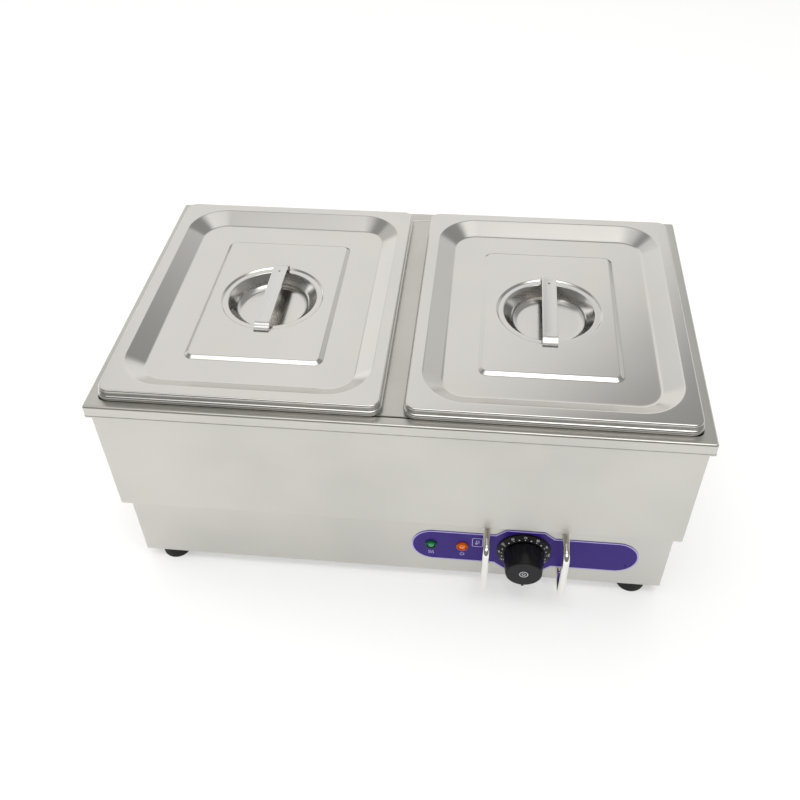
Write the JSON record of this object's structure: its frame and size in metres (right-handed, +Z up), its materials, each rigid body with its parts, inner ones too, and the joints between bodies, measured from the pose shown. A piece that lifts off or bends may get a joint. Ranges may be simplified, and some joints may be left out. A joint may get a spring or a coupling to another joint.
{
  "type": "countertop steam table",
  "caption": "Countertop steam table with lidded food pans hung in a heated water tank, a stepped stainless casing and a thermostat knob between rod guards.",
  "frame": {"origin": "on the table under the middle of the deck, within 3 mm of the middle of the whole box", "axes": "+Z up, -Y is the front with the control panel, +X to the right as seen from the front"},
  "size_m": [0.57, 0.3843, 0.2536],
  "materials": {
    "brushed_casing": "fine brushed stainless, satin",
    "bottom_sheet": "mill-finish steel",
    "tank_steel": "satin stainless",
    "polished_steel": "polished stainless with a soft grain",
    "pan_steel": "polished stainless",
    "handle_steel": "satin stainless, welded at both ends",
    "bright_rod": "bright plated rod",
    "foot_rubber": "matt black rubber",
    "zinc_fasteners": "zinc plated",
    "overlay_film": "printed purple film with a pale border",
    "knob_plastic": "matt black moulding",
    "dial_plastic": "matt black moulding with white marks",
    "insert_grey": "grey printed ring",
    "shaft_steel": "turned steel",
    "stat_case": "cream thermoset",
    "lamp_shell": "moulded shell",
    "green_lens": "translucent green",
    "orange_lens": "translucent orange",
    "element_sheath": "stainless sheath, heat tinted",
    "gland_brass": "turned brass",
    "seal_rubber": "red silicone",
    "probe_copper": "copper",
    "inlet_plastic": "black nylon",
    "terminal_plastic": "white thermoplastic",
    "lead_sleeve": "heat-proof sleeve"
  },
  "bodies": {
    "unit": {"base_rivets": "zinc_fasteners", "bottom_plate": "bottom_sheet", "bottom_screws": "zinc_fasteners", "bulb_clips": "zinc_fasteners", "cable_inlet": "inlet_plastic", "capillary_tube": "probe_copper", "deck": "brushed_casing", "dial_plate": "dial_plastic", "divider_bar": "brushed_casing", "divider_rest_front": "brushed_casing", "divider_rest_rear": "brushed_casing", "earth_nuts": "zinc_fasteners", "earth_stud": "zinc_fasteners", "element_glands": "gland_brass", "element_nuts": "gland_brass", "element_seals": "seal_rubber", "element_supports": "zinc_fasteners", "foot_front_left": "foot_rubber", "foot_front_right": "foot_rubber", "foot_nuts": "zinc_fasteners", "foot_rear_left": "foot_rubber", "foot_rear_right": "foot_rubber", "foot_screws": "zinc_fasteners", "guard_nuts": "zinc_fasteners", "heat_lamp_body": "lamp_shell", "heat_lamp_lens": "green_lens", "heat_lamp_nut": "lamp_shell", "heating_element": "element_sheath", "inlet_nut": "inlet_plastic", "internal_leads": "lead_sleeve", "knob_guard_left": "bright_rod", "knob_guard_right": "bright_rod", "lower_base": "brushed_casing", "panel_overlay": "overlay_film", "power_lamp_body": "lamp_shell", "power_lamp_lens": "orange_lens", "power_lamp_nut": "lamp_shell", "sensor_bulb": "probe_copper", "terminal_block": "terminal_plastic", "terminal_screws": "zinc_fasteners", "thermostat_body": "stat_case", "thermostat_screws": "zinc_fasteners", "upper_body": "brushed_casing", "water_tank": "tank_steel"},
    "left_pan": {"food_pan_left": "pan_steel"},
    "left_lid": {"lid_left": "polished_steel", "lid_handle_left": "handle_steel"},
    "right_pan": {"food_pan_right": "pan_steel"},
    "right_lid": {"lid_right": "polished_steel", "lid_handle_right": "handle_steel"},
    "knob_turning": {"knob": "knob_plastic", "knob_insert": "insert_grey", "thermostat_shaft": "shaft_steel"}
  },
  "joints": [
    {"name": "left_pan_lift", "type": "slide", "parent": "unit", "child": "left_pan", "axis": [0, 0, 1], "range_m": [0, 0.13]},
    {"name": "left_lid_lift", "type": "slide", "parent": "left_pan", "child": "left_lid", "axis": [0, 0, 1], "range_m": [0, 0.12]},
    {"name": "right_pan_lift", "type": "slide", "parent": "unit", "child": "right_pan", "axis": [0, 0, 1], "range_m": [0, 0.13]},
    {"name": "right_lid_lift", "type": "slide", "parent": "right_pan", "child": "right_lid", "axis": [0, 0, 1], "range_m": [0, 0.12]},
    {"name": "knob_turn", "type": "hinge", "parent": "unit", "child": "knob_turning", "pos_m": [0.1314, -0.1709, 0.058], "axis": [0, 1, 0], "range_deg": [0, 300]}
  ]
}
